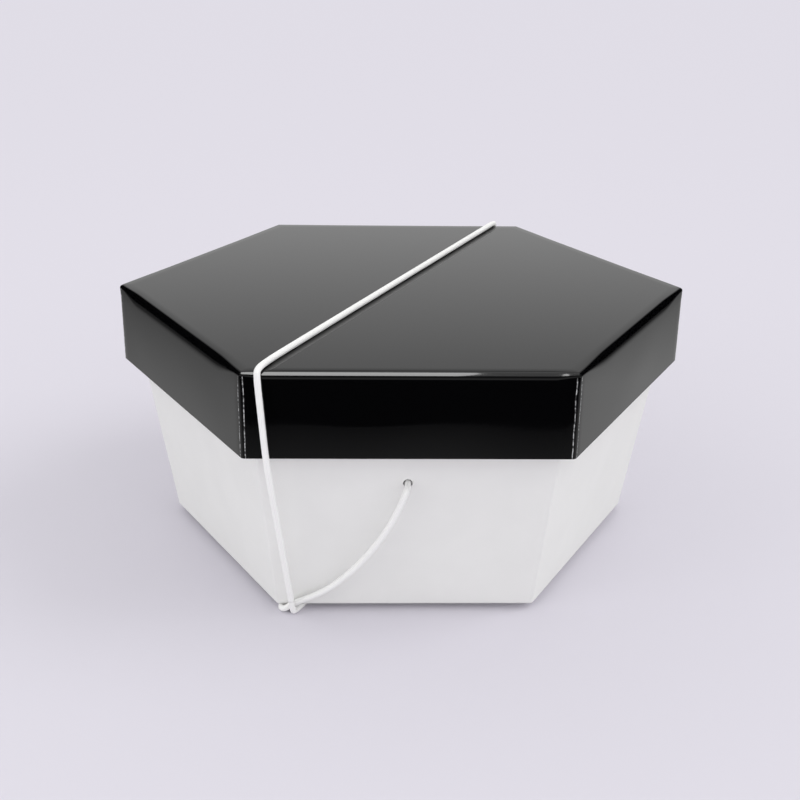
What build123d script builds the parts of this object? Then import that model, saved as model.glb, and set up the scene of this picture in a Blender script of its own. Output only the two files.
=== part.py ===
"""Hexagonal hat box: a tapered carton base, a lift-off lid and one elastic cord that holds it shut.

The base and the lid are each folded from one board, creased into panels and closed by a glue tab at
every corner. Each panel and tab is a piece of its own here, meeting its neighbours at the creases.
The cord is knotted inside the front and back walls and wrapped over the lid and under the floor.

Millimetres, +Z up. The origin is on the surface that the box stands on, under its middle. The front
wall faces -Y, and two corners of the hexagon lie on the X axis.
"""

import os
from math import atan, cos, degrees, hypot, pi, radians, tan

from build123d import *

# ---- Driving dimensions -------------------------------------------------------------------------
box_height = 173.0  # underside of the floor to the top of the lid

lid_across_corners = 400.0  # outside, from one corner to the opposite one
lid_skirt_height = 55.0
lid_board = 1.5
lid_edge_radius = 2.5  # the crease between the top panel and a skirt
lid_corner_radius = 3.0  # the crease between two skirts

base_across_corners = 334.0  # outside, at the floor
base_board = 1.5
base_edge_radius = 2.0  # the crease between the floor and a wall
base_corner_radius = 2.5  # the crease between two walls

lid_fit_gap = 0.5  # the glue tabs inside the lid's skirt to the base's rim, on each side
lid_rest_gap = 0.3  # the base's rim to the underside of the lid's top panel
crease_lip = 0.5  # the flat strip beside a crease that stays with the skirt or the wall

tab_width = 20.0  # a glue tab, from the corner along the panel that it is glued to
tab_chamfer = 9.0  # the cut across each of its free corners
lid_tab_height = 38.0
lid_tab_margin = 3.0  # from the lid's rim up to its tabs
base_tab_margin = 6.0  # from the floor up to the base's tabs, and from them to the base's rim

cord_diameter = 4.0
cord_clearance = 0.2  # between the cord and the board that it lies against
hole_diameter = 6.0
hole_height = 94.6  # above the underside of the floor
knot_diameter = 12.0
knot_length = 9.0
knot_rounding = 2.8
knot_tail_length = 16.0

# ---- Worked out from them -----------------------------------------------------------------------
corner_count = 6
half_wedge = 180.0 / corner_count
panel_turns = {  # from the front panel, in degrees about +Z
    "front": 0.0,
    "front_right": 60.0,
    "back_right": 120.0,
    "back": 180.0,
    "back_left": 240.0,
    "front_left": 300.0,
}

floor_z = cord_diameter + cord_clearance  # the box stands on the cord that runs under it
lid_top_z = floor_z + box_height
lid_rim_z = lid_top_z - lid_skirt_height
base_rim_z = lid_top_z - lid_board - lid_rest_gap

lid_apothem = lid_across_corners / 2 * cos(radians(half_wedge))
floor_apothem = base_across_corners / 2 * cos(radians(half_wedge))
rim_apothem = lid_apothem - 2 * lid_board - lid_fit_gap  # the skirt, the tabs inside it and the gap
wall_slope = (rim_apothem - floor_apothem) / (base_rim_z - floor_z)
wall_lean = degrees(atan(wall_slope))


def panel_plane(turn, apothem, height, slope, depth):
    """The plane that lies a depth inside a panel's outer face, with its normal pointing into the box.

    Its x axis runs level along the panel, its y axis up it, and its origin is at the given height.
    """
    level_outward = Vector(0, -1, 0).rotate(Axis.Z, turn)
    outward = (level_outward - Vector(0, 0, slope)).normalized()
    on_face = level_outward * apothem + Vector(0, 0, height)
    return Plane(
        origin=on_face - outward * depth,
        x_dir=level_outward.rotate(Axis.Z, -90),
        z_dir=outward * -1,
    )


def save(name, part):
    """Label a finished piece and write it to its own STEP file."""
    part.label = name
    export_step(part, f"parts/{name}.step")


def front_panel(shell, plate):
    """The front panel of a folded shell: what is outside the flat plate and between two corner creases."""
    reach = lid_across_corners
    half_width = reach * tan(radians(half_wedge))
    with BuildPart() as panel:
        add(shell)
        add(plate, mode=Mode.SUBTRACT)
        with BuildSketch():
            with BuildLine():
                Polyline((0, 0), (-half_width, -reach), (half_width, -reach), close=True)
            make_face()
        extrude(amount=reach, mode=Mode.INTERSECT)
    return panel.part


def leaning_block(foot_apothem, foot_z, corner_radius, edge_radius):
    """A solid hexagonal block as high as the base's rim, with its sides at the walls' lean."""
    with BuildPart() as block:
        with BuildSketch(Plane.XY.offset(foot_z)):
            RegularPolygon(radius=foot_apothem, side_count=corner_count, major_radius=False)
        extrude(amount=base_rim_z - foot_z, taper=-wall_lean)
        side_edges = block.edges().filter_by(lambda edge: edge.bounding_box().size.Z > base_board)
        fillet(side_edges, radius=corner_radius)
        fillet(block.faces().sort_by(Axis.Z)[0].edges(), radius=edge_radius)
    return block.part


def front_tab(shell, apothem, foot_z, slope, board, low_z, high_z):
    """The flap that comes round the corner from the next panel and is glued inside the front one."""
    inside = panel_plane(0, apothem, foot_z, slope, board)
    neighbour = panel_plane(-2 * half_wedge, apothem, foot_z, slope, board)
    stretch = hypot(1, slope)

    def corner_x(height):
        inner_apothem = apothem + slope * (height - foot_z) - board * stretch
        return inner_apothem * tan(radians(half_wedge))

    low_x, high_x = corner_x(low_z), corner_x(high_z)
    low_y, high_y = [(height - inside.origin.Z) * stretch for height in (low_z, high_z)]
    past_corner = 2 * board
    with BuildPart() as tab:
        with BuildSketch(inside):
            with BuildLine():
                Polyline(
                    (low_x + past_corner, low_y),
                    (high_x + past_corner, high_y),
                    (high_x - tab_width + tab_chamfer, high_y),
                    (high_x - tab_width, high_y - tab_chamfer),
                    (low_x - tab_width, low_y + tab_chamfer),
                    (low_x - tab_width + tab_chamfer, low_y),
                    close=True,
                )
            make_face()
        extrude(amount=board)
        split(bisect_by=neighbour, keep=Keep.TOP)
        add(shell, mode=Mode.SUBTRACT)
    return tab.part


arc_share = 0.45  # the part of a run that the arc at its end may use


def cord_tube(name, points, tight=()):
    """A stretch of the cord: straight runs between the points, joined by arcs, with a flat face at each end.

    Each arc is as large as its two runs allow, except at the points named in tight, given as
    (position in the list, radius), where the cord is bent round something of that size.
    """
    route = [Vector(*point) for point in points]
    runs = [second - first for first, second in zip(route, route[1:])]
    turns = [radians(before.get_angle(after)) for before, after in zip(runs, runs[1:])]
    radii = [
        arc_share * min(before.length, after.length) / tan(turn / 2)
        for before, after, turn in zip(runs, runs[1:], turns)
    ]
    for position, radius in tight:
        radii[position - 1] = radius
    with BuildPart() as tube:
        with BuildLine() as path:
            FilletPolyline(*route, radius=radii)
        centreline = path.wires()[0]
        with BuildSketch(Plane(origin=centreline @ 0, z_dir=centreline % 0)):
            Circle(cord_diameter / 2)
        sweep(path=centreline)
    length = centreline.length
    section = pi * cord_diameter**2 / 4
    print(
        f"{name}: {length:.1f} mm, volume {tube.part.volume / (section * length):.4f} of section x length,",
        "radii", [round(radius, 1) for radius in radii],
    )
    save(name, tube.part)


os.makedirs("parts", exist_ok=True)

# ---- The lid ------------------------------------------------------------------------------------
# The folded board in one: a hexagonal cap with rounded creases and an open underside.
with BuildPart() as lid_shell:
    with BuildSketch(Plane.XY.offset(lid_rim_z)):
        RegularPolygon(radius=lid_apothem, side_count=corner_count, major_radius=False)
    extrude(amount=lid_skirt_height)
    fillet(lid_shell.edges().filter_by(Axis.Z), radius=lid_corner_radius)
    fillet(lid_shell.faces().sort_by(Axis.Z)[-1].edges(), radius=lid_edge_radius)
    offset(amount=-lid_board, openings=lid_shell.faces().sort_by(Axis.Z)[0])

# The top panel is the flat of the board inside the creases.
with BuildPart() as lid_top_panel:
    with BuildSketch(Plane.XY.offset(lid_top_z)):
        flat_apothem = lid_apothem - lid_edge_radius - crease_lip
        RegularPolygon(radius=flat_apothem, side_count=corner_count, major_radius=False)
    extrude(amount=-lid_board)
save("lid_top_panel", lid_top_panel.part)

front_skirt = front_panel(lid_shell.part, lid_top_panel.part)
low_z = lid_rim_z + lid_tab_margin
high_z = low_z + lid_tab_height
lid_tab = front_tab(lid_shell.part, lid_apothem, lid_rim_z, 0, lid_board, low_z, high_z)

for side, turn in panel_turns.items():
    with BuildPart() as skirt:
        add(front_skirt, rotation=(0, 0, turn))
    save(f"lid_skirt_{side}", skirt.part)
    with BuildPart() as tab:
        add(lid_tab, rotation=(0, 0, turn))
    save(f"lid_tab_{side}", tab.part)

# ---- The base -----------------------------------------------------------------------------------
# The folded board in one: a tray whose six walls lean outwards up to an open rim.
inner_foot_z = floor_z + base_board
inner_foot_apothem = floor_apothem + wall_slope * base_board - base_board * hypot(1, wall_slope)
with BuildPart() as base_shell:
    add(leaning_block(floor_apothem, floor_z, base_corner_radius, base_edge_radius))
    add(
        leaning_block(
            inner_foot_apothem, inner_foot_z, base_corner_radius - base_board, base_edge_radius - base_board
        ),
        mode=Mode.SUBTRACT,
    )

# The floor is the flat of the board inside the creases.
with BuildPart() as base_floor_panel:
    with BuildSketch(Plane.XY.offset(floor_z)):
        flat_apothem = floor_apothem - base_edge_radius - crease_lip
        RegularPolygon(radius=flat_apothem, side_count=corner_count, major_radius=False)
    extrude(amount=base_board)
save("base_floor_panel", base_floor_panel.part)

front_wall = front_panel(base_shell.part, base_floor_panel.part)
low_z = floor_z + base_tab_margin
high_z = base_rim_z - base_tab_margin
base_tab = front_tab(
    base_shell.part, floor_apothem, floor_z, wall_slope, base_board, low_z, high_z
)
hole_z = floor_z + hole_height
hole_apothem = floor_apothem + wall_slope * hole_height

# The front and back walls are each punched with one hole for the cord.
for side, turn in panel_turns.items():
    with BuildPart() as wall:
        add(front_wall, rotation=(0, 0, turn))
        if side in ("front", "back"):
            with BuildSketch(panel_plane(turn, hole_apothem, hole_z, wall_slope, 0)):
                Circle(hole_diameter / 2)
            extrude(amount=2 * base_board, both=True, mode=Mode.SUBTRACT)
    save(f"base_wall_{side}", wall.part)
    with BuildPart() as tab:
        add(base_tab, rotation=(0, 0, turn))
    save(f"base_tab_{side}", tab.part)

# ---- The cord -----------------------------------------------------------------------------------
# One elastic cord, from the knot inside the front wall to the knot inside the back wall. From the
# front hole it hangs slack to the front left corner and passes under it. It runs under the floor to
# the back right corner, up the back, over the lid and down the front, where it hooks round its own
# slack part. It runs under the floor again to the back right corner, passes under it, and hangs slack
# to the back hole. The back half below the lid is the front half turned by half a turn.
slack_strand = [
    (0.0, -156.80, 99.05),  # the knot's seat, inside the hole
    (0.0, -161.45, 98.37),
    (-1.4, -165.20, 95.40),
    (-4.2, -165.00, 87.50),
    (-11.0, -162.80, 71.00),
    (-22.5, -159.60, 51.50),
    (-37.0, -156.20, 33.00),
    (-53.0, -152.20, 17.80),
    (-73.3, -147.20, 6.60),  # pinched here between the wall's foot and the hook
    (-79.14, -147.49, 2.00),
    (-82.31, -142.40, 2.00),  # under the corner
]
hook = [
    (-71.97, -149.29, 2.00),  # on the floor side
    (-73.01, -151.27, 3.77),  # on the riser side
]
front_rim = (-85.5, -175.90, 121.50)  # where the riser passes the lid's rim
over_lid = [
    (-89.6, -175.60, 176.80),
    (-88.9, -172.90, 179.80),
    (-84.9, -161.50, 179.60),
    (-78.0, -146.00, 179.40),
    (80.6, 172.90, 179.80),
    (81.0, 175.60, 176.80),
]
back_rim = (79.0, 175.90, 121.50)
rim_bend_radius = 10.0
lid_run_end_z = 166.0  # the cord above this height rides on the lid
base_run_end_z = 12.0  # the cord below this height stays on the base
corner_overrun = 6.0  # how far a slack strand's own piece runs on past the corner


def half_turn(points):
    """The same points on the other side of the box."""
    return [(-x, -y, z) for x, y, z in points]


def at_height(height, start, end):
    """The point of a run that is at this height."""
    share = (height - start[2]) / (end[2] - start[2])
    return tuple(a + (b - a) * share for a, b in zip(start, end))


def along(distance, start, end):
    """The point of a run that is this far from its start."""
    share = distance / (Vector(*end) - Vector(*start)).length
    return tuple(a + (b - a) * share for a, b in zip(start, end))


back_hook = half_turn(hook)
corner_cut = along(corner_overrun, slack_strand[-1], back_hook[0])
front_foot = at_height(base_run_end_z, hook[1], front_rim)
back_foot = at_height(base_run_end_z, back_hook[1], back_rim)
front_top = at_height(lid_run_end_z, front_rim, over_lid[0])
back_top = at_height(lid_run_end_z, back_rim, over_lid[-1])

cord_tube("cord_front_strand", slack_strand + [corner_cut])
cord_tube("cord_back_strand", half_turn(slack_strand + [corner_cut]))
cord_tube("cord_first_under_run", [corner_cut] + back_hook + [back_foot])
cord_tube("cord_second_under_run", half_turn([corner_cut]) + hook + [front_foot])
cord_tube("cord_front_riser", [front_foot, front_rim, front_top], tight=[(1, rim_bend_radius)])
cord_tube("cord_back_riser", [back_foot, back_rim, back_top], tight=[(1, rim_bend_radius)])
cord_tube("cord_over_lid", [front_top] + over_lid + [back_top])

# A stopper knot at each end, seated on the inside of its wall, with a short tail down along it.
for side in ("front", "back"):
    seat = panel_plane(
        panel_turns[side], hole_apothem, hole_z, wall_slope, base_board + cord_clearance
    )
    with BuildPart() as knot:
        with BuildSketch(seat):
            Circle(knot_diameter / 2)
        extrude(amount=knot_length)
        fillet(knot.edges().filter_by(GeomType.CIRCLE), radius=knot_rounding)
        tail_top = seat.origin + seat.z_dir * knot_length / 2
        with BuildSketch(Plane(origin=tail_top, z_dir=seat.y_dir * -1)):
            Circle(cord_diameter / 2)
        extrude(amount=knot_diameter / 2 + knot_tail_length)
    save(f"cord_knot_{side}", knot.part)
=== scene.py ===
# %% [markdown]
# # A hexagonal hat box: black lid, white base, elastic cord
#
# The box is two folded boards and one cord. The boards' panels come ready from the construction
# model, at their exact sizes, and carry everything that moves or fits. This lesson gives them their
# finish, folds the lid's board again with softer creases, lays the cord along its route, ties its
# knots and lights the whole as a small studio does. Everything is in metres, with the floor at zero,
# the front towards -Y and the lid lifting along Z.

# %% Load the frame
import math

import bmesh
import bpy
from mathutils import Matrix, Vector


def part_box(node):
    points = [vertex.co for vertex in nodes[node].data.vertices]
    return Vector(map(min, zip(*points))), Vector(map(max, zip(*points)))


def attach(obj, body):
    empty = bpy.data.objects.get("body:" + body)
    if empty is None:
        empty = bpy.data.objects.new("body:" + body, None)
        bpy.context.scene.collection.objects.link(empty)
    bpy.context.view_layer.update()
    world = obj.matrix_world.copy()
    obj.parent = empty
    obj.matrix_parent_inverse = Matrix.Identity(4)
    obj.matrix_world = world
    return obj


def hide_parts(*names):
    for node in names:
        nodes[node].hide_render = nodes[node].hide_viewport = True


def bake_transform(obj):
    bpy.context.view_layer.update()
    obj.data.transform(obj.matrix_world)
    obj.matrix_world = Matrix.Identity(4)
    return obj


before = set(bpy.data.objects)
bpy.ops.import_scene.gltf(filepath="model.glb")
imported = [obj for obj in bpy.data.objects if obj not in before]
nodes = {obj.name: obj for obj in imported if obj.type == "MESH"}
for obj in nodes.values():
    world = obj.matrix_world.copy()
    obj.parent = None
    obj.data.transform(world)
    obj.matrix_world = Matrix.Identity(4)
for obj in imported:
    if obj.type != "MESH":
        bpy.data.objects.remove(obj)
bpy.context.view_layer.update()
MM = 0.001
bpy.ops.object.select_all(action="DESELECT")

# %% [markdown]
# ## The camera
#
# A camera is a place, a direction and a lens. This one stands 0.86 m in front of the box's middle, a
# little to the left of it and 0.44 m up, and looks down on it by 22 degrees. The lens is a short
# telephoto, so the hexagon's far side is only a little smaller than its near one. The small roll is
# the tripod's.

# %% Place the camera
CAMERA_PLACE = Vector((-26.32, -861.8, 441.58)) * MM
LOOKS_DOWN = 0.3875  # radians, as the next two are
TURNED_RIGHT = 0.0294
ROLLED = 0.0144
FOCAL_LENGTH = 56.96  # mm
SENSOR_WIDTH = 36  # mm

bpy.ops.object.camera_add(location=CAMERA_PLACE)
camera = bpy.context.object
camera.rotation_euler = (
    Matrix.Rotation(-TURNED_RIGHT, 3, "Z")
    @ Matrix.Rotation(math.pi / 2 - LOOKS_DOWN, 3, "X")
    @ Matrix.Rotation(ROLLED, 3, "Z")
).to_euler()
camera.data.lens = FOCAL_LENGTH
camera.data.sensor_width = SENSOR_WIDTH
bpy.context.scene.camera = camera
print("camera at", camera.location, "turned", camera.rotation_euler)

# %% [markdown]
# ## Colours and nodes
#
# Colours are chosen on screen as sRGB hex values, while shaders add up linear light, so one function
# turns the one into the other. A second one adds a node, sets its values and links its inputs, which
# keeps each material as short as a recipe.

# %% Two helpers for materials
def linear(hex_colour):
    """An sRGB hex colour as the linear RGBA that shaders use."""
    channels = [int(hex_colour[i : i + 2], 16) / 255 for i in (1, 3, 5)]
    return [
        c / 12.92 if c <= 0.04045 else ((c + 0.055) / 1.055) ** 2.4 for c in channels
    ] + [1.0]


def add_node(material, kind, settings=None, **inputs):
    """Add a node; inputs are values, or (node, output name) pairs to link from."""
    tree = material.node_tree  # a world has one too
    node = tree.nodes.new(kind)
    for name, value in (settings or {}).items():
        setattr(node, name, value)
    for name, value in inputs.items():
        socket = node.inputs[int(name[1:])] if name[0] == "_" else node.inputs[name.replace("_", " ")]
        if isinstance(value, tuple) and isinstance(value[0], bpy.types.Node):
            tree.links.new(value[0].outputs[value[1]], socket)
        else:
            socket.default_value = value
    return node


def new_material(name):
    """An empty material with only its output, ready for its recipe."""
    material = bpy.data.materials.new(name)
    material.use_nodes = True
    material.node_tree.nodes.clear()
    return material


def finish_material(material, shader):
    """Link the shader to the output."""
    output = add_node(material, "ShaderNodeOutputMaterial")
    material.node_tree.links.new(shader.outputs[0], output.inputs["Surface"])
    return material


def give(piece, material):
    """Make this the piece's only material."""
    piece.data.materials.clear()
    piece.data.materials.append(material)
    for face in getattr(piece.data, "polygons", []):
        face.material_index = 0


print(f"middle grey #808080 is {linear('#808080')[0]:.3f} in linear light")

# %% [markdown]
# ## Glossy black laminated board
#
# The lid is cardboard under a clear gloss film: nearly black ink, with the sharp reflection of a
# plastic skin on top. A film that is glued to board is never quite flat, so the reflection wavers
# over a few centimetres and has a faint orange peel. Where the board is folded down at a corner the
# film is stretched past its limit: it cracks along both sides of the fold, and the grey fibre shows
# as two thin broken lines. The cracks follow the folds, so the lid's mesh carries its own measure of
# the way to the nearest fold, in millimetres, which the material reads.

# %% The lid's material
CRACK_FROM_FOLD = 2.1  # mm, from the corner's line to the crack on each side of it
CRACK_WIDTH = 0.65  # mm, wider than the real hairline, so that it shows
CRACK_DRIFT = 0.8  # mm, how far it wanders from its line


def laminated_board():
    """Gloss black film on board, cracked along the folds."""
    material = new_material("black gloss laminated board")
    place = add_node(material, "ShaderNodeTexCoord")
    waver = add_node(
        material,
        "ShaderNodeTexNoise",
        Vector=(place, "Object"),
        Scale=14.0,  # swells about 70 mm across
        Detail=1.0,
        Roughness=0.4,
    )
    peel = add_node(
        material,
        "ShaderNodeTexNoise",
        Vector=(place, "Object"),
        Scale=420.0,  # orange peel about 2.4 mm across, as coarse as it needs to show
        Detail=2.0,
    )
    gloss = add_node(
        material,
        "ShaderNodeMapRange",
        Value=(waver, 0),
        From_Min=0.3,
        From_Max=0.7,
        To_Min=0.035,
        To_Max=0.07,
    )
    skin = add_node(
        material,
        "ShaderNodeBump",
        Strength=0.03,
        Distance=0.0001,
        Height=(peel, 0),
    )
    # The cracks are a thin band at a set distance from the fold, broken up by noise along it.
    way = add_node(material, "ShaderNodeAttribute", {"attribute_name": "from_fold"})
    wander = add_node(
        material, "ShaderNodeTexNoise", Vector=(place, "Object"), Scale=60.0, Detail=3.0
    )
    drift = add_node(
        material,
        "ShaderNodeMapRange",
        Value=(wander, 0),
        To_Min=-CRACK_FROM_FOLD - CRACK_DRIFT,
        To_Max=-CRACK_FROM_FOLD + CRACK_DRIFT,
    )
    off_line = add_node(
        material, "ShaderNodeMath", {"operation": "ADD"}, _0=(way, "Fac"), _1=(drift, 0)
    )
    distance = add_node(material, "ShaderNodeMath", {"operation": "ABSOLUTE"}, _0=(off_line, 0))
    line = add_node(
        material,
        "ShaderNodeMapRange",
        Value=(distance, 0),
        From_Min=CRACK_WIDTH * 0.2,
        From_Max=CRACK_WIDTH * 0.6,
        To_Min=1.0,
        To_Max=0.0,
    )
    crumble = add_node(
        material, "ShaderNodeTexNoise", Vector=(place, "Object"), Scale=700.0, Detail=3.0
    )
    broken = add_node(
        material,
        "ShaderNodeMapRange",
        Value=(crumble, 0),
        From_Min=0.42,
        From_Max=0.6,
        To_Min=0.08,
        To_Max=1.0,
    )
    crack = add_node(
        material, "ShaderNodeMath", {"operation": "MULTIPLY"}, _0=(line, 0), _1=(broken, 0)
    )
    colour = add_node(
        material,
        "ShaderNodeMix",
        {"data_type": "RGBA"},
        _0=(crack, 0),
        _6=linear("#050506"),
        _7=linear("#C4C4C4"),
    )
    roughness = add_node(
        material,
        "ShaderNodeMix",
        {"data_type": "FLOAT"},
        _0=(crack, 0),
        _2=(gloss, 0),
        _3=0.7,
    )
    shader = add_node(
        material,
        "ShaderNodeBsdfPrincipled",
        Base_Color=(colour, 2),
        IOR=1.52,
        Roughness=(roughness, 0),
        Normal=(skin, 0),
    )
    return finish_material(material, shader)


black_board = laminated_board()
print(f"{black_board.name}: {len(black_board.node_tree.nodes)} nodes")

# %% [markdown]
# ## Satin white coated board
#
# The base is white-lined board: a smooth clay coat over pressed fibre. It is matt with a low sheen,
# a touch cool, and under a raking light it shows the faint mottle of the fibre below.

# %% The base's material
def coated_board():
    """A matt white coat with the faint mottle of the fibre below."""
    material = new_material("white clay-coated board")
    place = add_node(material, "ShaderNodeTexCoord")
    mottle = add_node(
        material, "ShaderNodeTexNoise", Vector=(place, "Object"), Scale=38.0, Detail=3.0
    )
    fibre = add_node(
        material, "ShaderNodeTexNoise", Vector=(place, "Object"), Scale=900.0, Detail=2.0
    )
    colour = add_node(
        material,
        "ShaderNodeMix",
        {"data_type": "RGBA"},
        _0=(mottle, 0),
        _6=linear("#E7E7E5"),
        _7=linear("#EEEEEC"),
    )
    relief = add_node(
        material, "ShaderNodeBump", Strength=0.06, Distance=0.0001, Height=(fibre, 0)
    )
    shader = add_node(
        material,
        "ShaderNodeBsdfPrincipled",
        Base_Color=(colour, 2),
        IOR=1.5,
        Roughness=0.42,
        Normal=(relief, 0),
    )
    return finish_material(material, shader)


white_board = coated_board()
print(f"{white_board.name}: {len(white_board.node_tree.nodes)} nodes")

# %% [markdown]
# ## Grey-white liner
#
# The back of laminated board is left bare: a recycled liner, grey-white and matt, with short fibres
# pressed into it every which way. It shows inside the lid, on its glue tabs and along the cut rim.

# %% The lid's lining
def bare_liner():
    """Grey-white pressed fibre."""
    material = new_material("bare recycled liner")
    place = add_node(material, "ShaderNodeTexCoord")
    fibres = add_node(
        material,
        "ShaderNodeTexNoise",
        Vector=(place, "Object"),
        Scale=260.0,  # flecks about 4 mm long
        Detail=6.0,
        Roughness=0.7,
        Distortion=1.5,
    )
    colour = add_node(
        material,
        "ShaderNodeMix",
        {"data_type": "RGBA"},
        _0=(fibres, 0),
        _6=linear("#B9B7B2"),
        _7=linear("#D8D6D1"),
    )
    relief = add_node(
        material, "ShaderNodeBump", Strength=0.2, Distance=0.0001, Height=(fibres, 0)
    )
    shader = add_node(
        material,
        "ShaderNodeBsdfPrincipled",
        Base_Color=(colour, 2),
        Roughness=0.85,
        Normal=(relief, 0),
    )
    return finish_material(material, shader)


liner = bare_liner()
print(f"{liner.name}: {len(liner.node_tree.nodes)} nodes")

# %% [markdown]
# ## White elastic cord
#
# The cord is a rubber core in a fine polyester braid. The braid is two sets of yarns that wind round
# the cord in opposite directions and pass over and under each other, which leaves small diamonds of
# about half a millimetre, drawn here a little larger so that they show. The pattern has to follow the
# cord round its bends, so it reads a UV map that runs in metres along it and in turns around it.

# %% The cord's material
CORD_DIAMETER = 4 * MM
BRAID_PITCH = 1.3 * MM  # along the cord, from one yarn to the next that winds the same way
YARNS_AROUND = 12


def braided_cord():
    """White yarns wound both ways round the cord, with painted shade in the braid's hollows."""
    material = new_material("white braided elastic")
    way = add_node(material, "ShaderNodeUVMap", {"uv_map": "along"})
    parts = add_node(material, "ShaderNodeSeparateXYZ", Vector=(way, "UV"))
    lengthways = add_node(
        material, "ShaderNodeMath", {"operation": "MULTIPLY"}, _0=(parts, 0), _1=math.tau / BRAID_PITCH
    )
    around = add_node(
        material,
        "ShaderNodeMath",
        {"operation": "MULTIPLY"},
        _0=(parts, 1),
        _1=math.tau * YARNS_AROUND / 2,
    )
    waves = []
    for operation in ("ADD", "SUBTRACT"):
        phase = add_node(
            material, "ShaderNodeMath", {"operation": operation}, _0=(lengthways, 0), _1=(around, 0)
        )
        waves.append(add_node(material, "ShaderNodeMath", {"operation": "SINE"}, _0=(phase, 0)))
    weave = add_node(
        material, "ShaderNodeMath", {"operation": "MULTIPLY"}, _0=(waves[0], 0), _1=(waves[1], 0)
    )
    height_for_painted_shade = add_node(
        material, "ShaderNodeMapRange", Value=(weave, 0), From_Min=-1.0, From_Max=1.0
    )
    # The sunk diamonds are coloured a shade darker than the raised ones: painted shade in the hollows of
    # the braid.
    tint_with_painted_shade = add_node(
        material,
        "ShaderNodeMix",
        {"data_type": "RGBA"},
        _0=(height_for_painted_shade, 0),
        _6=linear("#EEEEEC"),
        _7=linear("#FCFCFB"),
    )
    relief = add_node(
        material, "ShaderNodeBump", Strength=0.35, Distance=0.00015, Height=(weave, 0)
    )
    shader = add_node(
        material,
        "ShaderNodeBsdfPrincipled",
        Base_Color=(tint_with_painted_shade, 2),
        Roughness=0.7,
        Normal=(relief, 0),
        Sheen_Weight=0.3,
        Sheen_Roughness=0.4,
    )
    return finish_material(material, shader)


white_braid = braided_cord()
print(f"{white_braid.name}: {len(white_braid.node_tree.nodes)} nodes")

# %% [markdown]
# ## Dress the panels
#
# Every panel of the base takes the white board. The lid's glue tabs show the bare side of its board.
# Their shapes are right as they come.

# %% Give the boards their finish
lid_tabs = [name for name in nodes if name.startswith("lid_tab")]
base_panels = [name for name in nodes if name.startswith("base")]
for name in lid_tabs:
    give(nodes[name], liner)
for name in base_panels:
    give(nodes[name], white_board)
print(f"dressed {len(base_panels)} panels of the base and {len(lid_tabs)} glue tabs of the lid")

# %% [markdown]
# ## Fold the lid's board
#
# On gloss black, shape is seen only in reflections, so the lid's outer board needs more truth than
# flat panels have. Folded board is springy: its creases are tight at the corners, where three panels
# pull on each other, and open out to a rounder bend half way along each side, and no panel is quite
# flat. A bevelled box can't change its radius along an edge. So the board is drawn as a hexagonal
# ring at the rim, and the ring is extruded up the skirt, over the crease and in to the middle of the
# top. Its creases are all equally tight at first, and are opened out in the step after this one.

# %% Measures of the lid
skirt_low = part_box("lid_skirt_front")[0]
LID_APOTHEM = -skirt_low.y
LID_RIM = skirt_low.z
LID_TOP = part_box("lid_top_panel")[1].z
LID_BOARD = LID_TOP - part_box("lid_top_panel")[0].z
CORNERS = 6
TURN = math.tau / CORNERS
LID_CORNER_RADIUS = 3 * MM
CREASE_AT_CORNER = 2.5 * MM
CREASE_STEPS = 9
SIDE_CUTS = 31  # across each side, for the creases to open out along it
SKIRT_STEPS = 7
TOP_RINGS = (9, 14, 24, 38, 55, 75, 95, 115, 135, 152, 164)  # mm in from the skirt's face
print(f"lid: {LID_APOTHEM:.4f} m to a side, rim {LID_RIM:.4f}, top {LID_TOP:.4f}, board {LID_BOARD:.4f}")

# %% Draw the rim and extrude it
bpy.ops.mesh.primitive_circle_add(
    vertices=CORNERS,
    radius=LID_APOTHEM / math.cos(TURN / 2),
    location=(0, 0, LID_RIM),
    rotation=(0, 0, TURN / 2),
)
lid_board = bpy.context.object
lid_board.name = "lid_folded_board"
bpy.ops.object.transform_apply(location=True, rotation=True, scale=True)
bpy.ops.object.mode_set(mode="EDIT")
bpy.ops.mesh.bevel(
    offset=LID_CORNER_RADIUS * math.tan(TURN / 2),
    offset_type="OFFSET",
    segments=4,
    affect="VERTICES",
)
edit_mesh = bmesh.from_edit_mesh(lid_board.data)
for edge in edit_mesh.edges:
    edge.select_set(edge.calc_length() > LID_APOTHEM / 2)
edit_mesh.select_flush(False)
bmesh.update_edit_mesh(lid_board.data)
bpy.ops.mesh.subdivide(number_cuts=SIDE_CUTS)
bpy.ops.mesh.select_all(action="SELECT")


def crease(reach_in, reach_down, step):
    """How far in, and how high above the rim, a step of the crease lies."""
    bend = math.pi / 2 * step / CREASE_STEPS
    return reach_in * (1 - math.cos(bend)), LID_TOP - LID_RIM - reach_down * (1 - math.sin(bend))


skirt_top = LID_TOP - LID_RIM - CREASE_AT_CORNER
profile = [(0.0, skirt_top * step / SKIRT_STEPS) for step in range(1, SKIRT_STEPS)]
profile += [crease(CREASE_AT_CORNER, CREASE_AT_CORNER, step) for step in range(CREASE_STEPS + 1)]
profile += [(inset * MM, LID_TOP - LID_RIM) for inset in TOP_RINGS]

inset_now, height_now = 0.0, 0.0
for inset, height in profile:
    bpy.ops.mesh.extrude_region_move(TRANSFORM_OT_translate={"value": (0, 0, height - height_now)})
    shrink = (LID_APOTHEM - inset) / (LID_APOTHEM - inset_now)
    bpy.ops.transform.resize(value=(shrink, shrink, 1), center_override=(0, 0, 0))
    inset_now, height_now = inset, height
bpy.ops.mesh.edge_face_add()
bpy.ops.mesh.select_all(action="SELECT")
bpy.ops.mesh.normals_make_consistent(inside=False)
bpy.ops.object.mode_set(mode="OBJECT")
print(f"lid board: {len(lid_board.data.vertices)} vertices in {len(profile) + 1} rings")

# %% [markdown]
# ## Open out the creases
#
# Each vertex is now moved by where it lies. A crease opens out smoothly away from the corners: on the
# front into a larger round, and on the two sides next to it far down the skirt and less far in, as
# board does that was creased by hand. None of them reaches so far in that the board would touch the
# base's rim. The panels then get a slight bow and a fainter ripple, which only the gloss shows.

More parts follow.
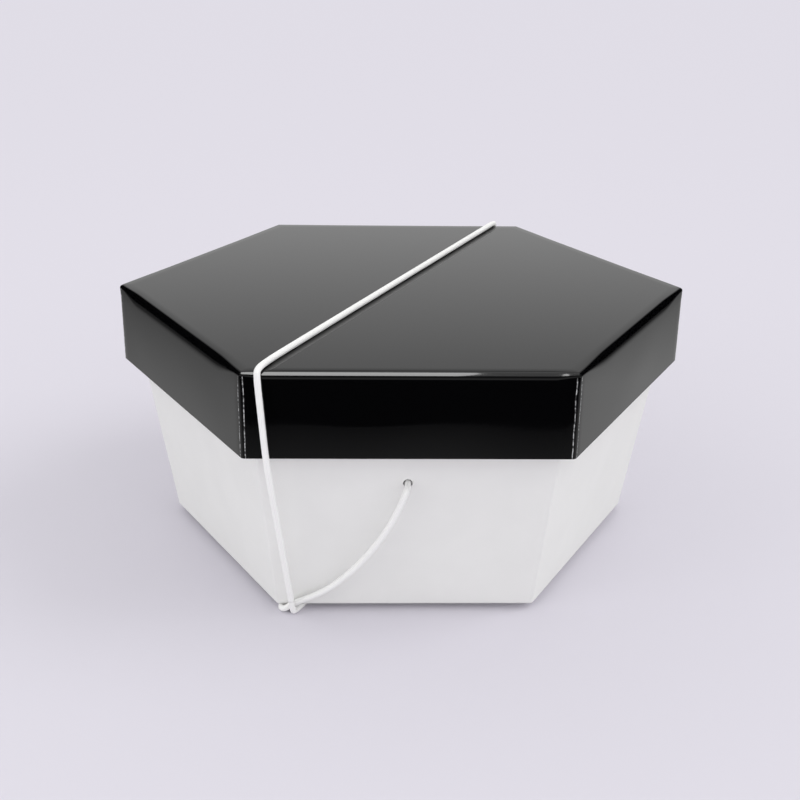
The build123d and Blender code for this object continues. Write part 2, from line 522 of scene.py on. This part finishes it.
# %% Open out the creases and take the flatness away
OPENED_CREASES = {  # side: how far its crease reaches in and down, and how far from a corner it is open
    0: (3.2 * MM, 3.2 * MM, 60 * MM),  # back right, and on round the box to the left
    1: (3.0 * MM, 3.0 * MM, 60 * MM),
    2: (3.2 * MM, 3.2 * MM, 60 * MM),
    3: (3.8 * MM, 9.5 * MM, 35 * MM),
    4: (4.6 * MM, 4.6 * MM, 14 * MM),  # front
    5: (3.8 * MM, 8.5 * MM, 45 * MM),
}
SKIRT_BOW = 0.28 * MM
RIPPLE_HEIGHT = 0.06 * MM
RIPPLE_ALONG = 61  # radians per metre, so about 100 mm from crest to crest
RIPPLE_UP = 4  # radians over the skirt's height
HALF_SIDE = LID_APOTHEM * math.tan(TURN / 2)
NO_FOLD_NEAR = 50.0  # mm, for the top, which has no cracks


def smooth_step(value, low, high):
    """0 up to low, 1 from high on, and a smooth rise between them."""
    share = min(1.0, max(0.0, (value - low) / (high - low)))
    return share * share * (3 - 2 * share)


def side_frame(place):
    """The number of the side that a point is on, its outward direction and the way along it."""
    side = round((math.atan2(place.y, place.x) - TURN / 2) / TURN) % CORNERS
    angle = (side + 0.5) * TURN
    outward = Vector((math.cos(angle), math.sin(angle), 0))
    return side, outward, place.dot(Vector((-outward.y, outward.x, 0)))


SAME_HEIGHT = 0.01 * MM
SAME_DEPTH = 0.6 * MM


def crease_step(height, depth_in):
    """Which step of the crease a point was drawn on, or None."""
    for step in range(CREASE_STEPS + 1):
        step_in, step_height = crease(CREASE_AT_CORNER, CREASE_AT_CORNER, step)
        if abs(height - step_height) < SAME_HEIGHT and abs(depth_in - step_in) < SAME_DEPTH:
            return step
    return None


from_fold = []
for vertex in lid_board.data.vertices:
    side, outward, way_along = side_frame(vertex.co)
    depth_in = LID_APOTHEM - vertex.co.dot(outward)
    to_corner = HALF_SIDE - abs(way_along)
    on_skirt = vertex.co.z < LID_TOP - CREASE_AT_CORNER + 0.001 * MM
    from_fold.append(to_corner / MM if on_skirt else NO_FOLD_NEAR)
    opened_in, opened_down, opened_from = OPENED_CREASES[side]
    openness = smooth_step(to_corner, LID_CORNER_RADIUS, opened_from)
    reach_in = CREASE_AT_CORNER + (opened_in - CREASE_AT_CORNER) * openness
    reach_down = CREASE_AT_CORNER + (opened_down - CREASE_AT_CORNER) * openness
    step = crease_step(vertex.co.z - LID_RIM, depth_in)
    if step is not None:
        inset, height = crease(reach_in, reach_down, step)
        vertex.co += outward * (depth_in - inset)
        vertex.co.z = LID_RIM + height
    elif vertex.co.z < LID_TOP - CREASE_AT_CORNER:
        up = (vertex.co.z - LID_RIM) / skirt_top
        vertex.co.z = LID_RIM + up * (LID_TOP - LID_RIM - reach_down)
    up_skirt = (vertex.co.z - LID_RIM) / (LID_TOP - LID_RIM - reach_down)
    if on_skirt:
        bow = math.sin(math.pi * min(1.0, up_skirt)) * smooth_step(to_corner, 0, HALF_SIDE)
        ripple = math.sin(way_along * RIPPLE_ALONG + 1.3 * outward.x)
        ripple *= math.sin(up_skirt * RIPPLE_UP + outward.y)
        held = min(1.0, 4 * abs(1.0 - up_skirt))  # the crease holds the top of the skirt still
        vertex.co += outward * (SKIRT_BOW * bow + RIPPLE_HEIGHT * ripple * openness * held)
lid_board.data.update()

attribute = lid_board.data.attributes.new("from_fold", "FLOAT", "POINT")
attribute.data.foreach_set("value", from_fold)
print(f"the folds' measure runs from {min(from_fold):.2f} to {max(from_fold):.0f} mm")

# %% Give the board its thickness
thickness = lid_board.modifiers.new("board", "SOLIDIFY")
thickness.thickness = LID_BOARD
thickness.offset = -1
lid_board.data.materials.append(black_board)
lid_board.data.materials.append(liner)
thickness.material_offset = 1
thickness.material_offset_rim = 1
bpy.ops.object.select_all(action="DESELECT")
bpy.context.view_layer.objects.active = lid_board
lid_board.select_set(True)
bpy.ops.object.modifier_apply(modifier=thickness.name)
bpy.ops.object.shade_smooth_by_angle(angle=math.radians(40))
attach(lid_board, "lid")
skirts = [name for name in nodes if name.startswith("lid_skirt")]
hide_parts("lid_top_panel", *skirts)
print(f"lid board: {len(lid_board.data.polygons)} faces, stands for {len(skirts) + 1} panels")

# %% [markdown]
# ## The cord
#
# A cord is one smooth line with a round section. Its line is a NURBS curve, whose control points pull
# it without kinks: points close together make a tight bend, and a long straight stretch needs one more
# point a little before each corner. The tube is then a mesh swept along that line, so that its braid
# can follow it.
#
# The route has three stretches. Two of them stay on the base: a slack strand from each hole, and the
# run under the floor that it goes on in. The third closes the box: it goes up the front, over the lid
# and down the back, between the two feet where the others end.

# %% List the cord's route, in millimetres
SLACK_STRAND = [
    (0.0, -156.80, 99.05),
    (0.0, -161.45, 98.37),
    (-1.4, -165.20, 95.40),
    (-4.2, -165.00, 87.50),
    (-11.0, -162.80, 71.00),
    (-22.5, -159.60, 51.50),
    (-37.0, -156.20, 33.00),
    (-53.0, -152.20, 17.80),
    (-73.3, -147.20, 6.60),
    (-79.14, -147.49, 2.00),
    (-82.31, -142.40, 2.00),
]
HOOK = [(-71.97, -149.29, 2.00), (-73.01, -151.27, 3.77)]
FRONT_RIM = (-85.5, -175.90, 121.50)
OVER_LID = [
    (-89.6, -175.60, 176.80),
    (-88.9, -172.90, 179.80),
    (-84.9, -161.50, 179.60),
    (-78.0, -146.00, 179.40),
    (80.6, 172.90, 179.80),
    (81.0, 175.60, 176.80),
]
BACK_RIM = (79.0, 175.90, 121.50)
FOOT_HEIGHT = 12.0
NEAR_A_BEND = 24.0  # six diameters: how far from a bend a straight stretch gets its extra point


def half_turn(points):
    """The same points on the other side of the box."""
    return [(-x, -y, z) for x, y, z in points]


def at_height(height, start, end):
    """The point of a straight stretch that is at this height."""
    share = (height - start[2]) / (end[2] - start[2])
    return tuple(a + (b - a) * share for a, b in zip(start, end))


def along(distance, start, end):
    """The point of a straight stretch that is this far from its start."""
    share = distance / (Vector(end) - Vector(start)).length
    return tuple(a + (b - a) * share for a, b in zip(start, end))


def near_both(start, end):
    """The two extra points of a long straight stretch, one near each of its bends."""
    return [along(NEAR_A_BEND, start, end), along(NEAR_A_BEND, end, start)]


back_hook = half_turn(HOOK)
front_foot = at_height(FOOT_HEIGHT, HOOK[1], FRONT_RIM)
back_foot = at_height(FOOT_HEIGHT, back_hook[1], BACK_RIM)

first_run = SLACK_STRAND + near_both(SLACK_STRAND[-1], back_hook[0]) + back_hook + [back_foot]
second_run = (
    half_turn(SLACK_STRAND)
    + near_both(half_turn(SLACK_STRAND)[-1], HOOK[0])
    + HOOK
    + [front_foot]
)
closing_run = (
    [front_foot]
    + near_both(front_foot, FRONT_RIM)
    + [FRONT_RIM, along(NEAR_A_BEND, OVER_LID[0], FRONT_RIM)]
    + OVER_LID[:4]
    + near_both(OVER_LID[3], OVER_LID[4])[1:]
    + OVER_LID[4:]
    + [along(NEAR_A_BEND, OVER_LID[-1], BACK_RIM), BACK_RIM]
    + near_both(BACK_RIM, back_foot)
    + [back_foot]
)

print("control points:", len(first_run), len(closing_run), len(second_run))

# %% Turn a route into a line and a tube
LINE_STEPS = 6  # to each stretch between control points
SIDES = 20


def smooth_line(name, route):
    """Points along the NURBS curve that has the route as its control points."""
    curve = bpy.data.curves.new(name, "CURVE")
    curve.dimensions = "3D"
    curve.resolution_u = LINE_STEPS
    spline = curve.splines.new("NURBS")
    spline.points.add(len(route) - 1)
    for point, place in zip(spline.points, route):
        point.co = (*(Vector(place) * MM), 1.0)
    spline.order_u = 3
    spline.use_endpoint_u = True
    holder = bpy.data.objects.new(name, curve)
    bpy.context.scene.collection.objects.link(holder)
    bpy.context.view_layer.update()
    evaluated = holder.evaluated_get(bpy.context.evaluated_depsgraph_get())
    line_mesh = bpy.data.meshes.new_from_object(evaluated)
    line = [vertex.co.copy() for vertex in line_mesh.vertices]
    bpy.data.objects.remove(holder)
    return line


def line_length(line):
    """How long a line is, in metres."""
    return sum((b - a).length for a, b in zip(line, line[1:]))


def even_steps(line, step):
    """The same line with its points a step apart, for a tube with even rings."""
    total = line_length(line)
    count = max(2, round(total / step))
    targets = [total * i / count for i in range(count + 1)]
    points, walked, index = [], 0.0, 0
    for target in targets:
        while index < len(line) - 2 and walked + (line[index + 1] - line[index]).length < target:
            walked += (line[index + 1] - line[index]).length
            index += 1
        run = line[index + 1] - line[index]
        points.append(line[index] + run * min(1.0, (target - walked) / run.length))
    return points


def tube(name, line, radius):
    """A round tube along a line, with closed ends and a UV map that runs along and around it."""
    mesh = bpy.data.meshes.new(name)
    build = bmesh.new()
    uv = build.loops.layers.uv.new("along")
    walked = [0.0]
    for a, b in zip(line, line[1:]):
        walked.append(walked[-1] + (b - a).length)
    last = len(line) - 1
    ways = [(line[min(i + 1, last)] - line[max(i - 1, 0)]).normalized() for i in range(last + 1)]
    side = ways[0].orthogonal().normalized()
    turns = [math.tau * k / SIDES for k in range(SIDES)]
    rings = []
    for place, way in zip(line, ways):
        side = (side - way * side.dot(way)).normalized()
        other = way.cross(side)
        spokes = [side * math.cos(turn) + other * math.sin(turn) for turn in turns]
        rings.append([build.verts.new(place + spoke * radius) for spoke in spokes])
    for i in range(last):
        for k in range(SIDES):
            corners = ((i, k), (i, k + 1), (i + 1, k + 1), (i + 1, k))
            face = build.faces.new([rings[ring][spoke % SIDES] for ring, spoke in corners])
            face.smooth = True
            for loop, (ring, spoke) in zip(face.loops, corners):
                loop[uv].uv = (walked[ring], spoke / SIDES)
    build.faces.new(reversed(rings[0]))
    build.faces.new(rings[-1])
    build.normal_update()
    build.to_mesh(mesh)
    build.free()
    piece = bpy.data.objects.new(name, mesh)
    bpy.context.scene.collection.objects.link(piece)
    return piece


print("a tube has", SIDES, "sides")

# %% [markdown]
# ## Lay the three stretches
#
# The two stretches on the base ride with it. The closing one is laid in place on its own.

# %% Lay the three stretches
RING_STEP = 1.0 * MM
routes = {
    "cord_front_slack_and_first_run": first_run,
    "cord_closing_run": closing_run,
    "cord_back_slack_and_second_run": second_run,
}
lines = {}
cords = {}
for name, route in routes.items():
    line = even_steps(smooth_line(f"route of {name}", route), RING_STEP)
    lines[name] = line
    cords[name] = tube(name, line, CORD_DIAMETER / 2)
    give(cords[name], white_braid)
    print(f"{name}: {line_length(line):.4f} m")

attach(cords["cord_front_slack_and_first_run"], "base")
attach(cords["cord_back_slack_and_second_run"], "base")
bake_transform(cords["cord_closing_run"])
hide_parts("cord_front_strand", "cord_first_under_run")
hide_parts("cord_back_strand", "cord_second_under_run")
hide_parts("cord_front_riser", "cord_back_riser", "cord_over_lid")

# %% [markdown]
# ## The knots
#
# Each end of the cord is stopped by an overhand knot inside the wall, pulled up tight against the
# hole. A knot is the same tube again, along a line that goes over and under itself three times and
# then leaves as a short tail down the wall.

# %% Tie the knots
WALL_LEAN = 0.1465  # how far a wall leans out, as a share of its height
KNOT_LOOP = 1.33 * MM  # the knot's line reaches three times this far from its middle
KNOT_DEPTH = 2.3 * MM
KNOT_POINTS = 22
KNOT_START = 0.6  # radians round the knot, where its line starts
KNOT_GAP = 0.35  # radians left open between its start and its end
KNOT_RING_STEP = 0.6 * MM
FROM_WALL = 4.5 * MM  # to the middle of the knot
TAIL_START = 7 * MM  # below that middle
TAIL_BEND = 8 * MM  # on from the tail's start, as the next one is
TAIL_END = 13 * MM


def knot_line(middle, away, down):
    """The line of an overhand knot round an axis that points away from the wall, with its tail."""
    across = away.cross(down)
    route = []
    for step in range(KNOT_POINTS + 1):
        t = KNOT_START + (math.tau - KNOT_GAP) * step / KNOT_POINTS
        x = math.sin(t) + 2 * math.sin(2 * t)
        y = math.cos(t) - 2 * math.cos(2 * t)
        in_face = (across * x + down * y) * KNOT_LOOP
        route.append(middle + in_face - away * math.sin(3 * t) * KNOT_DEPTH)
    low = middle + down * TAIL_START
    return route + [low + across * MM, low + down * TAIL_BEND, low + down * TAIL_END]


for side, toward in (("front", -1), ("back", 1)):
    low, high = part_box(f"cord_knot_{side}")
    hole_y = -toward * lines["cord_front_slack_and_first_run"][0].y
    away = Vector((0, -toward, WALL_LEAN)).normalized()
    down = Vector((0, -toward * WALL_LEAN, -1)).normalized()
    middle = Vector(((low.x + high.x) / 2, hole_y, high.z - 6 * MM)) + away * FROM_WALL
    route = [tuple(point / MM) for point in knot_line(middle, away, down)]
    line = even_steps(smooth_line("knot", route), KNOT_RING_STEP)
    knot = tube(f"cord_end_knot_{side}", line, CORD_DIAMETER / 2)
    give(knot, white_braid)
    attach(knot, "base")
    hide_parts(f"cord_knot_{side}")
    print(f"{knot.name}: {line_length(line):.3f} m of cord")

# %% [markdown]
#
# Each stretch starts where it leaves the object and ends where it goes back into it, and lies taut.


print(f"all three together: {sum(line_length(line) for line in lines.values()):.2f} m")

# %% [markdown]
# ## The studio
#
# The box stands on pale paper that fills the view and melts into the room's own light, so there is
# no horizon. The light comes from all round, as in a white tent. Two large soft boxes low in front
# lift the walls under the lid's overhang, and a weak light high on the right gives the box its shadow.
#
# A gloss black lid is lit by what it mirrors, and a studio builds that apart from the light:
# a bright paper behind it for the top, the lit table for the sides, a soft box above for the crease
# in front, and black flags and gaps where the lid should go black. Here those cards are seen in
# reflections only, so that they neither light the box nor stand in any view.

# %% Lay the paper
PAPER_SIZE = 60.0
bpy.ops.mesh.primitive_plane_add(size=PAPER_SIZE, location=(0, 0, 0))
paper_floor = bpy.context.object
paper_floor.name = "paper_floor"
paper = new_material("pale paper")
paper_shader = add_node(
    paper,
    "ShaderNodeBsdfPrincipled",
    Base_Color=linear("#DAD7E0"),
    Roughness=1.0,
    Specular_IOR_Level=0.0,
)
finish_material(paper, paper_shader)
give(paper_floor, paper)
print(f"{paper_floor.name}: {PAPER_SIZE:.0f} m across")

# %% Light the room
ROOM_BRIGHTNESS = 0.95
world = bpy.data.worlds.new("room")
bpy.context.scene.world = world
world.use_nodes = True
world.node_tree.nodes.clear()
ray = add_node(world, "ShaderNodeLightPath")
tent = add_node(world, "ShaderNodeBackground", Color=linear("#FFFFFF"), Strength=ROOM_BRIGHTNESS)
seen = add_node(world, "ShaderNodeBackground", Color=linear("#E0DEE7"), Strength=1.0)
either = add_node(world, "ShaderNodeMixShader", _0=(ray, "Is Camera Ray"), _1=(tent, 0), _2=(seen, 0))
room = add_node(world, "ShaderNodeOutputWorld")
world.node_tree.links.new(either.outputs[0], room.inputs["Surface"])
print(f"the room shines at {ROOM_BRIGHTNESS}")

# %% Set up the lights
BOX_MIDDLE = Vector((0, 0, 0.08))
BEAM = math.radians(100)  # a grid on each soft box keeps its light off the floor below it
TOWARD_KEY = Vector((1.0, 0.0, 0.9))
KEY_POWER = 0.55
KEY_SOFTNESS = math.radians(35)


def soft_box(name, place, size, power):
    """A large area light aimed at the box, which reflections don't see."""
    bpy.ops.object.light_add(type="AREA", location=place)
    light = bpy.context.object
    light.name = name
    light.data.size = size
    light.data.energy = power
    light.rotation_euler = (BOX_MIDDLE - Vector(place)).to_track_quat("-Z", "Y").to_euler()
    light.data.spread = BEAM
    light.visible_glossy = False
    light.visible_camera = False
    return light


soft_box("soft_box_left", place=(-1.75, -1.0, 0.6), size=1.0, power=1.5)
soft_box("soft_box_right", place=(1.75, -1.0, 0.6), size=1.0, power=0.8)
bpy.ops.object.light_add(type="SUN", location=TOWARD_KEY)
key_light = bpy.context.object
key_light.name = "key_light"
key_light.data.energy = KEY_POWER
key_light.data.angle = KEY_SOFTNESS
key_light.rotation_euler = TOWARD_KEY.to_track_quat("Z", "Y").to_euler()
key_light.visible_glossy = False
bpy.context.scene.view_settings.view_transform = "Standard"

# %% [markdown]
# ## The cards
#
# The lit table shows in the lid's sides, the back paper in its top and the soft box above in its front
# crease. The black flags and the gaps in the side papers keep the front and the side creases black.
# The papers in front and at the sides are for whoever walks round the box.

# %% Set up the cards
def card(name, size, place, rotation, material):
    """A flat card that only reflections see."""
    bpy.ops.mesh.primitive_plane_add(size=1.0, location=place, rotation=rotation)
    board = bpy.context.object
    board.name = name
    board.scale = (size[0], size[1], 1)
    give(board, material)
    board.visible_camera = False
    board.visible_diffuse = False
    board.visible_shadow = False
    board.visible_transmission = False
    return board


def even_glow(name, brightness):
    """A card that is equally bright all over."""
    material = new_material(name)
    glow = add_node(
        material, "ShaderNodeEmission", Color=linear("#FFFFFF"), Strength=brightness
    )
    return finish_material(material, glow)


def ramp(material, value, low, high, at_low, at_high):
    """A number that goes from at_low to at_high while the value goes from low to high."""
    return add_node(
        material,
        "ShaderNodeMapRange",
        Value=value,
        From_Min=low,
        From_Max=high,
        To_Min=at_low,
        To_Max=at_high,
    )


def place_in_room(material):
    """A node that gives the X, Y and Z of the place in the room."""
    place = add_node(material, "ShaderNodeNewGeometry")
    return add_node(material, "ShaderNodeSeparateXYZ", Vector=(place, "Position"))


def glow_of(material, level):
    """Finish the material as a glow of this level."""
    return finish_material(material, add_node(material, "ShaderNodeEmission", Strength=level))


def graded_paper(name, low, high, at_low, at_high):
    """A paper that is brighter near the floor than high up."""
    material = new_material(name)
    parts = place_in_room(material)
    level = ramp(material, (parts, 2), low, high, at_low, at_high)
    return glow_of(material, (level, 0))


print("cards are stage pieces that only reflections see")

# %% The lit table and the side papers
POOL_SHIFT = 0.05  # m to the right
POOL_INNER, POOL_OUTER = 0.4, 0.95  # m from its middle, between which it fades
POOL_BRIGHT, POOL_DIM = 0.58, 0.08
FRONT_FADE_START, FRONT_FADE_END = -0.5, -0.2  # m, the shade in front of the box
FRONT_SHARE = 0.14
GAP_SLOPE, GAP_FOOT = 0.65, 0.28  # the middle of the gap, as m back per m up, and at the floor
GAP_INNER, GAP_OUTER = 0.38, 0.65  # m from the gap's middle, between which the paper begins


def lit_table(name):
    """The pool of light on the table: bright round the box and dimmer further out."""
    material = new_material(name)
    place = add_node(material, "ShaderNodeNewGeometry")
    moved = add_node(
        material,
        "ShaderNodeMapping",
        Vector=(place, "Position"),
        Location=(-POOL_SHIFT, 0.0, 0.0),
    )
    reach = add_node(material, "ShaderNodeVectorMath", {"operation": "LENGTH"}, _0=(moved, 0))
    pool = ramp(material, (reach, "Value"), POOL_INNER, POOL_OUTER, POOL_BRIGHT, POOL_DIM)
    parts = place_in_room(material)
    front = ramp(material, (parts, 1), FRONT_FADE_START, FRONT_FADE_END, FRONT_SHARE, 1.0)
    level = add_node(
        material, "ShaderNodeMath", {"operation": "MULTIPLY"}, _0=(pool, 0), _1=(front, 0)
    )
    return glow_of(material, (level, 0))


def gapped_paper(name, low, high, at_low, at_high):
    """A graded paper with a black gap that slants up it, where the lid's creases look."""
    material = new_material(name)
    parts = place_in_room(material)
    gap = add_node(
        material,
        "ShaderNodeMath",
        {"operation": "MULTIPLY_ADD"},
        _0=(parts, 2),
        _1=GAP_SLOPE,
        _2=GAP_FOOT,
    )
    off_gap = add_node(
        material, "ShaderNodeMath", {"operation": "SUBTRACT"}, _0=(parts, 1), _1=(gap, 0)
    )
    away = add_node(material, "ShaderNodeMath", {"operation": "ABSOLUTE"}, _0=(off_gap, 0))
    paper_share = ramp(material, (away, 0), GAP_INNER, GAP_OUTER, 0.0, 1.0)
    fade = ramp(material, (parts, 2), low, high, at_low, at_high)
    level = add_node(
        material, "ShaderNodeMath", {"operation": "MULTIPLY"}, _0=(paper_share, 0), _1=(fade, 0)
    )
    return glow_of(material, (level, 0))


print(f"the gap's middle is {GAP_FOOT + GAP_SLOPE:.2f} m back at 1 m up")

# %% Stand the cards round the box
FLAT = (0, 0, 0)
UPRIGHT = (math.pi / 2, 0, 0)
SIDEWAYS = (math.pi / 2, 0, math.pi / 2)
TABLE_FRONT = -0.50
TABLE_BACK = 2.4
JUST_ABOVE = 0.3 * MM  # the cards on the floor lie this far above the paper
SIDE_REACH = 1.25
FLAG_HEIGHT = 0.35  # of the side flags, on which the side papers stand

black_flag = even_glow("black flag", 0.0)
side_paper = gapped_paper("gapped side paper", 0.3, 1.1, 0.45, 0.12)
card(
    "table_card",
    size=(4.0, TABLE_BACK - TABLE_FRONT),
    place=(0, (TABLE_BACK + TABLE_FRONT) / 2, JUST_ABOVE),
    rotation=FLAT,
    material=lit_table("lit table"),
)
card(
    "front_flag_low",
    size=(6.0, 3.0),
    place=(0, TABLE_FRONT - 1.5, JUST_ABOVE + 0.1 * MM),
    rotation=FLAT,
    material=black_flag,
)
card(
    "front_paper",
    size=(6.0, 2.6),
    place=(0, -2.2, 1.3),
    rotation=UPRIGHT,
    material=graded_paper("graded front paper", 0.5, 1.3, 0.4, 0.08),
)
for side, x in (("left", -SIDE_REACH), ("right", SIDE_REACH)):
    card(
        f"{side}_flag",
        size=(3.6, FLAG_HEIGHT),
        place=(x, 0.2, FLAG_HEIGHT / 2),
        rotation=SIDEWAYS,
        material=black_flag,
    )
    card(
        f"{side}_paper",
        size=(3.6, 2.05),
        place=(x, 0.2, FLAG_HEIGHT + 2.05 / 2),
        rotation=SIDEWAYS,
        material=side_paper,
    )
card(
    "back_paper",
    size=(2.5, 2.0),
    place=(0, 1.6, 1.0),
    rotation=UPRIGHT,
    material=graded_paper("graded back paper", 0.5, 1.2, 0.86, 0.24),
)
card(
    "soft_box_above",
    size=(0.66, 1.5),
    place=(-0.17, -0.55, 1.5),
    rotation=FLAT,
    material=even_glow("soft box", 8.0),
)
